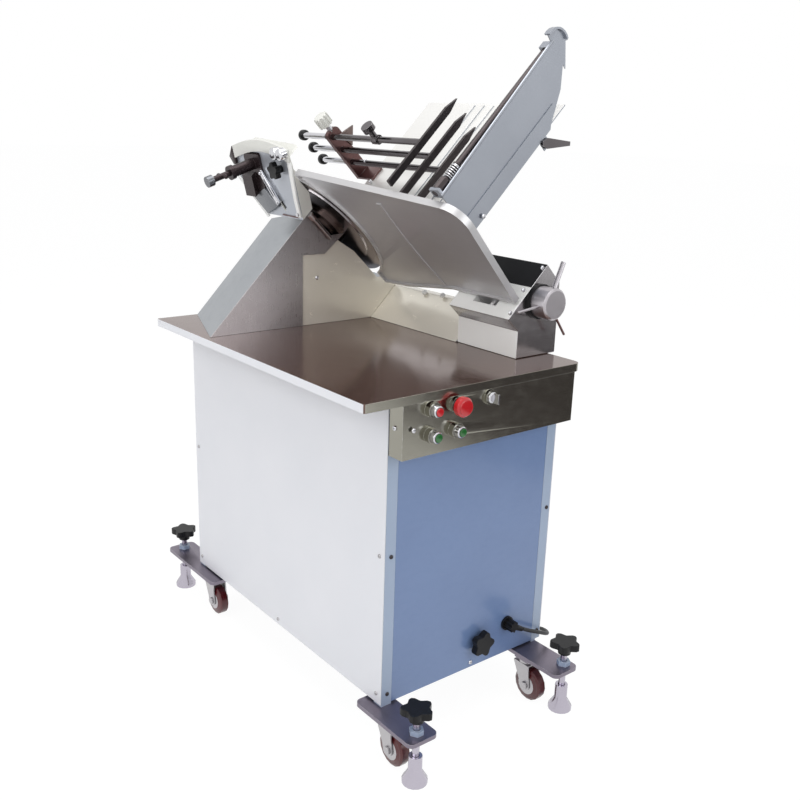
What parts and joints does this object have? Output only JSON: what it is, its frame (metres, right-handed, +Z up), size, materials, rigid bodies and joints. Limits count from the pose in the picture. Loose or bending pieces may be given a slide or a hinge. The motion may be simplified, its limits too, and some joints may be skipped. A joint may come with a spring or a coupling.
{
  "type": "automatic meat slicer",
  "caption": "Floor-standing slicer on a wheeled cabinet, with a tilted round blade, gauge plate, sliding ribbed chute and rod dividers.",
  "frame": {"origin": "on the floor, under the middle of the machine's plan without its cord", "axes": "+Z up; the front with the push buttons faces -Y; the chute and the sliding carriage are on the +X side"},
  "size_m": [0.6566, 0.982, 1.3204],
  "materials": {
    "stainless": "brushed stainless steel",
    "bright_steel": "polished steel",
    "dark_steel": "dark steel",
    "cast_aluminium": "polished cast aluminium",
    "white_paint": "white powder coat",
    "blue_paint": "blue-grey reflective sheet",
    "zinc": "zinc plated steel",
    "black_plastic": "black moulded plastic",
    "red_tread": "dark red tread on a grey hub",
    "red_cap": "glossy red plastic",
    "green_cap": "glossy green plastic",
    "rubber": "black rubber"
  },
  "bodies": {
    "base": {"cabinet_frame": "zinc", "left_side_panel": "white_paint", "right_side_panel": "white_paint", "front_panel": "blue_paint", "rear_panel": "blue_paint", "worktop": "stainless", "control_box": "stainless", "head_base": "cast_aluminium", "gauge_housing": "cast_aluminium", "tower_casing": "stainless", "tower_cover": "white_paint", "blade_motor": "dark_steel", "motor_bracket": "zinc", "drive_belt": "rubber", "blade_shroud": "white_paint", "sharpener_body": "dark_steel", "slide_shaft": "bright_steel", "cable_gland": "black_plastic", "cord_lead": "rubber", "cord_coil": "rubber", "mains_plug": "black_plastic"},
    "blade_unit": {"blade": "bright_steel", "blade_spindle": "dark_steel"},
    "gauge": {"gauge_plate": "stainless"},
    "dial": {"thickness_dial": "stainless"},
    "carriage": {"carriage_arm": "cast_aluminium", "chute_floor": "stainless", "chute_side_wall": "stainless", "guide_rod": "dark_steel", "guide_spring": "bright_steel", "divider_bracket": "cast_aluminium"},
    "top_rod": {"divider_rod_1": "bright_steel"},
    "middle_rod": {"divider_rod_2": "bright_steel"},
    "lower_rod": {"divider_rod_3": "bright_steel"},
    "clamp_knob": {"bracket_clamp_knob": "white_paint"},
    "latch": {"latch_lever": "dark_steel"},
    "honing_rod": {"sharpener_rod": "bright_steel"},
    "honing_knob": {"sharpener_knob": "black_plastic"},
    "panel_knob": {"front_panel_knob": "black_plastic"},
    "stop_push": {"stop_button": "red_cap"},
    "start_push": {"start_button": "green_cap"},
    "carriage_push": {"carriage_button": "green_cap"},
    "emergency_push": {"emergency_stop": "red_cap"},
    "key": {"key_switch": "bright_steel"},
    "front_left_fork": {"front_left_caster_fork": "zinc"},
    "front_left_wheel": {"front_left_caster_wheel": "red_tread"},
    "front_left_pad": {"front_left_foot_pad": "bright_steel"},
    "front_left_screw": {"front_left_foot_screw": "black_plastic"},
    "front_right_fork": {"front_right_caster_fork": "zinc"},
    "front_right_wheel": {"front_right_caster_wheel": "red_tread"},
    "front_right_pad": {"front_right_foot_pad": "bright_steel"},
    "front_right_screw": {"front_right_foot_screw": "black_plastic"},
    "rear_left_fork": {"rear_left_caster_fork": "zinc"},
    "rear_left_wheel": {"rear_left_caster_wheel": "red_tread"},
    "rear_left_pad": {"rear_left_foot_pad": "bright_steel"},
    "rear_left_screw": {"rear_left_foot_screw": "black_plastic"},
    "rear_right_fork": {"rear_right_caster_fork": "zinc"},
    "rear_right_wheel": {"rear_right_caster_wheel": "red_tread"},
    "rear_right_pad": {"rear_right_foot_pad": "bright_steel"},
    "rear_right_screw": {"rear_right_foot_screw": "black_plastic"}
  },
  "joints": [
    {"name": "blade_spin", "type": "hinge", "parent": "base", "child": "blade_unit", "pos_m": [0.05189, 0.2015, 0.933], "axis": [0.7071, 0, 0.7071], "continuous": true},
    {"name": "dial_turn", "type": "hinge", "parent": "base", "child": "dial", "pos_m": [0.20089, -0.3185, 0.824], "axis": [0, -1, 0], "range_deg": [0, 330]},
    {"name": "gauge_slide", "type": "slide", "parent": "base", "child": "gauge", "axis": [-0.7071, 0, -0.7071], "range_m": [0, 0.012]},
    {"name": "carriage_slide", "type": "slide", "parent": "base", "child": "carriage", "axis": [0, 1, 0], "range_m": [0, 0.35]},
    {"name": "top_rod_slide", "type": "slide", "parent": "carriage", "child": "top_rod", "axis": [0, 1, 0], "range_m": [0, 0.12]},
    {"name": "middle_rod_slide", "type": "slide", "parent": "carriage", "child": "middle_rod", "axis": [0, 1, 0], "range_m": [0, 0.27]},
    {"name": "lower_rod_slide", "type": "slide", "parent": "carriage", "child": "lower_rod", "axis": [0, 1, 0], "range_m": [0, 0.27]},
    {"name": "clamp_turn", "type": "hinge", "parent": "carriage", "child": "clamp_knob", "pos_m": [0.02148, 0.1365, 1.12604], "axis": [-0.7071, 0, 0.7071], "range_deg": [0, 360]},
    {"name": "latch_turn", "type": "hinge", "parent": "carriage", "child": "latch", "pos_m": [0.21311, -0.2958, 1.11685], "axis": [0, 1, 0], "range_deg": [-60, 60]},
    {"name": "honing_push", "type": "slide", "parent": "base", "child": "honing_rod", "axis": [0.9455, 0, 0.3256], "range_m": [0, 0.012], "stiffness_N_per_m": 400},
    {"name": "honing_knob_turn", "type": "hinge", "parent": "base", "child": "honing_knob", "pos_m": [-0.06527, 0.1855, 1.04493], "axis": [-0.9703, 0, -0.2419], "range_deg": [0, 360]},
    {"name": "panel_knob_turn", "type": "hinge", "parent": "base", "child": "panel_knob", "pos_m": [0.04789, -0.3633, 0.16], "axis": [0, -1, 0], "range_deg": [0, 360]},
    {"name": "stop_press", "type": "slide", "parent": "base", "child": "stop_push", "axis": [0, 1, 0], "range_m": [0, 0.004], "stiffness_N_per_m": 500},
    {"name": "start_press", "type": "slide", "parent": "base", "child": "start_push", "axis": [0, 1, 0], "range_m": [0, 0.004], "stiffness_N_per_m": 500},
    {"name": "carriage_press", "type": "slide", "parent": "base", "child": "carriage_push", "axis": [0, 1, 0], "range_m": [0, 0.004], "stiffness_N_per_m": 500},
    {"name": "emergency_press", "type": "slide", "parent": "base", "child": "emergency_push", "axis": [0, 1, 0], "range_m": [0, 0.006]},
    {"name": "key_turn", "type": "hinge", "parent": "base", "child": "key", "pos_m": [0.00589, -0.4005, 0.6832], "axis": [0, -1, 0], "range_deg": [-45, 45]},
    {"name": "front_left_swivel", "type": "hinge", "parent": "base", "child": "front_left_fork", "pos_m": [-0.18611, -0.3875, 0], "axis": [0, 0, 1], "continuous": true},
    {"name": "front_left_roll", "type": "hinge", "parent": "front_left_fork", "child": "front_left_wheel", "pos_m": [-0.18611, -0.4015, 0.0375], "axis": [1, 0, 0], "continuous": true},
    {"name": "front_left_level", "type": "slide", "parent": "base", "child": "front_left_pad", "axis": [0, 0, 1], "range_m": [-0.012, 0.02]},
    {"name": "front_left_screw_turn", "type": "hinge", "parent": "front_left_pad", "child": "front_left_screw", "pos_m": [-0.18611, -0.4615, 0], "axis": [0, 0, 1], "range_deg": [-2165, 3605]},
    {"name": "front_right_swivel", "type": "hinge", "parent": "base", "child": "front_right_fork", "pos_m": [0.17089, -0.3875, 0], "axis": [0, 0, 1], "continuous": true},
    {"name": "front_right_roll", "type": "hinge", "parent": "front_right_fork", "child": "front_right_wheel", "pos_m": [0.17089, -0.4015, 0.0375], "axis": [1, 0, 0], "continuous": true},
    {"name": "front_right_level", "type": "slide", "parent": "base", "child": "front_right_pad", "axis": [0, 0, 1], "range_m": [-0.012, 0.02]},
    {"name": "front_right_screw_turn", "type": "hinge", "parent": "front_right_pad", "child": "front_right_screw", "pos_m": [0.19889, -0.4615, 0], "axis": [0, 0, 1], "range_deg": [-2165, 3605]},
    {"name": "rear_left_swivel", "type": "hinge", "parent": "base", "child": "rear_left_fork", "pos_m": [-0.18611, 0.3005, 0], "axis": [0, 0, 1], "continuous": true},
    {"name": "rear_left_roll", "type": "hinge", "parent": "rear_left_fork", "child": "rear_left_wheel", "pos_m": [-0.18611, 0.2865, 0.0375], "axis": [1, 0, 0], "continuous": true},
    {"name": "rear_left_level", "type": "slide", "parent": "base", "child": "rear_left_pad", "axis": [0, 0, 1], "range_m": [-0.012, 0.02]},
    {"name": "rear_left_screw_turn", "type": "hinge", "parent": "rear_left_pad", "child": "rear_left_screw", "pos_m": [-0.18611, 0.4615, 0], "axis": [0, 0, 1], "range_deg": [-2165, 3605]},
    {"name": "rear_right_swivel", "type": "hinge", "parent": "base", "child": "rear_right_fork", "pos_m": [0.17089, 0.3005, 0], "axis": [0, 0, 1], "continuous": true},
    {"name": "rear_right_roll", "type": "hinge", "parent": "rear_right_fork", "child": "rear_right_wheel", "pos_m": [0.17089, 0.2865, 0.0375], "axis": [1, 0, 0], "continuous": true},
    {"name": "rear_right_level", "type": "slide", "parent": "base", "child": "rear_right_pad", "axis": [0, 0, 1], "range_m": [-0.012, 0.02]},
    {"name": "rear_right_screw_turn", "type": "hinge", "parent": "rear_right_pad", "child": "rear_right_screw", "pos_m": [0.19889, 0.4615, 0], "axis": [0, 0, 1], "range_deg": [-2165, 3605]}
  ],
  "couplings": [
    {"joint": "gauge_slide", "follows": "dial_turn", "m_per_rad": 0.0020834},
    {"joint": "front_left_screw_turn", "follows": "front_left_level", "rad_per_m": 3141.6},
    {"joint": "front_right_screw_turn", "follows": "front_right_level", "rad_per_m": 3141.6},
    {"joint": "rear_left_screw_turn", "follows": "rear_left_level", "rad_per_m": 3141.6},
    {"joint": "rear_right_screw_turn", "follows": "rear_right_level", "rad_per_m": 3141.6}
  ]
}
